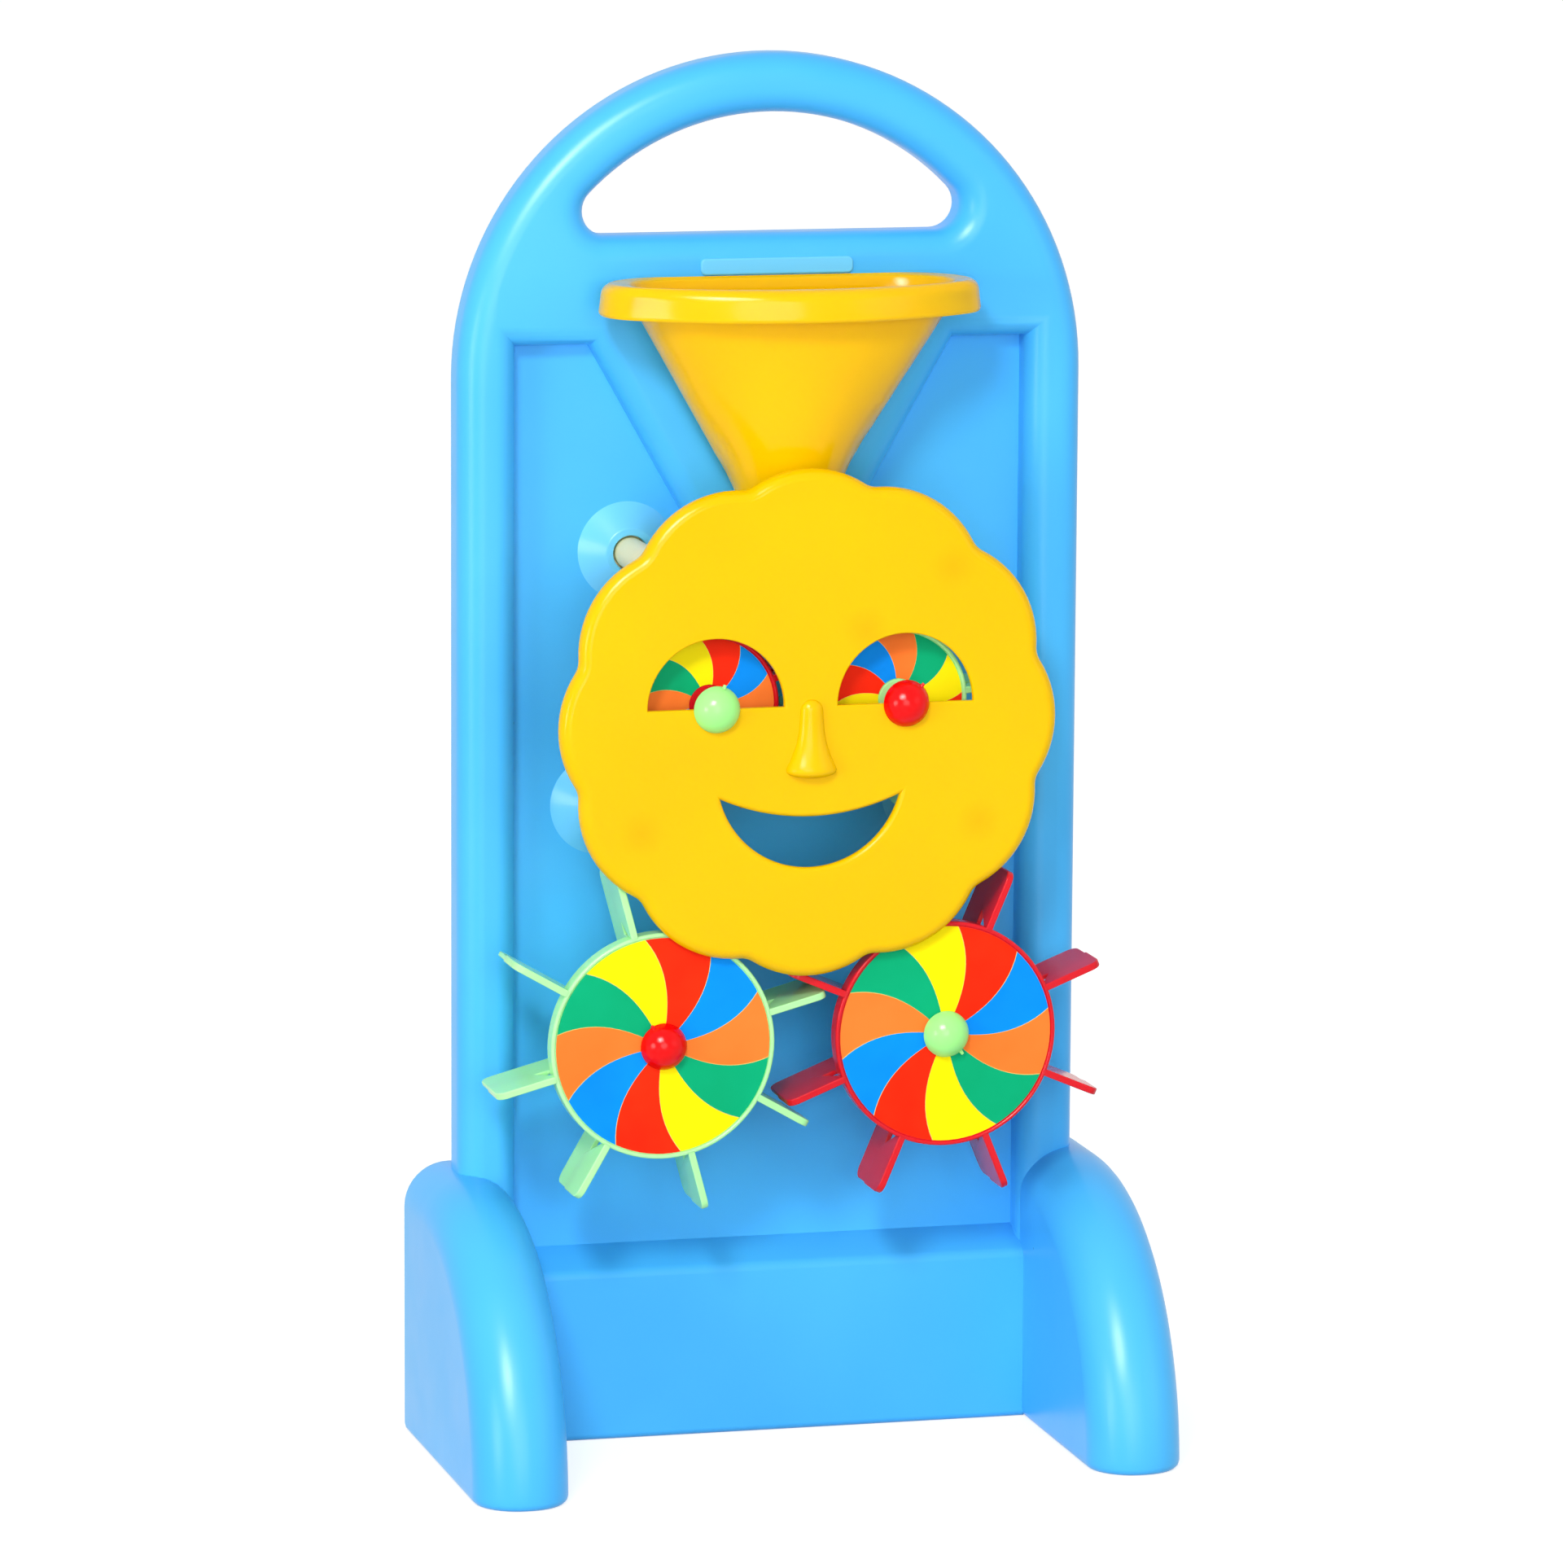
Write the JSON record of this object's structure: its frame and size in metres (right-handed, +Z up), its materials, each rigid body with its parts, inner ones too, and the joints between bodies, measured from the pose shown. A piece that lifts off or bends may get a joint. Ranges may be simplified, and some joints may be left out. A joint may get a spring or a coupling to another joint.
{
  "type": "sand wheel toy",
  "caption": "Upright sand wheel toy: arched hollow frame on boot-shaped feet, with a funnel, a smiling sun with wheels for eyes, and geared paddle wheels below.",
  "frame": {"origin": "on the ground, in the middle of the toy's footprint", "axes": "+Z up, the front of the toy faces -Y, +X to the right of someone who looks at its front"},
  "size_m": [0.2682, 0.1404, 0.5185],
  "materials": {
    "frame_blue": "satin gloss, blow-moulded polyethylene",
    "funnel_yellow": "gloss, injection-moulded polypropylene",
    "sun_yellow": "gloss, injection-moulded polypropylene",
    "wheel_green": "slightly translucent gloss polypropylene",
    "wheel_red": "slightly translucent gloss polypropylene",
    "sticker_print": "printed paper sticker with a satin film",
    "pin_green": "gloss polyethylene",
    "pin_red": "gloss polyethylene",
    "peg_natural": "natural polyethylene"
  },
  "bodies": {
    "frame": {"frame_shell": "frame_blue", "funnel": "funnel_yellow", "sun_face": "sun_yellow", "wheel_pin_left": "pin_red", "wheel_pin_right": "pin_green", "eye_pin_left": "pin_green", "eye_pin_right": "pin_red", "sun_peg_upper_left": "peg_natural", "sun_peg_upper_right": "peg_natural", "sun_peg_lower_left": "peg_natural", "sun_peg_lower_right": "peg_natural", "funnel_peg_left": "funnel_yellow", "funnel_peg_right": "funnel_yellow"},
    "paddle_left": {"paddle_wheel_left": "wheel_green", "wheel_sticker_left": "sticker_print"},
    "paddle_right": {"paddle_wheel_right": "wheel_red", "wheel_sticker_right": "sticker_print"},
    "eye_left": {"eye_wheel_left": "wheel_red", "eye_sticker_left": "sticker_print"},
    "eye_right": {"eye_wheel_right": "wheel_green", "eye_sticker_right": "sticker_print"}
  },
  "joints": [
    {"name": "paddle_left_spin", "type": "hinge", "parent": "frame", "child": "paddle_left", "pos_m": [-0.0538, 0, 0.1589], "axis": [0, -1, 0], "continuous": true},
    {"name": "paddle_right_spin", "type": "hinge", "parent": "frame", "child": "paddle_right", "pos_m": [0.0538, 0, 0.1589], "axis": [0, -1, 0], "continuous": true},
    {"name": "eye_left_spin", "type": "hinge", "parent": "frame", "child": "eye_left", "pos_m": [-0.0358, 0, 0.2842], "axis": [0, -1, 0], "continuous": true},
    {"name": "eye_right_spin", "type": "hinge", "parent": "frame", "child": "eye_right", "pos_m": [0.0358, 0, 0.2842], "axis": [0, -1, 0], "continuous": true}
  ],
  "couplings": [
    {"joint": "paddle_right_spin", "follows": "paddle_left_spin", "ratio": -1},
    {"joint": "eye_right_spin", "follows": "eye_left_spin", "ratio": -1}
  ]
}
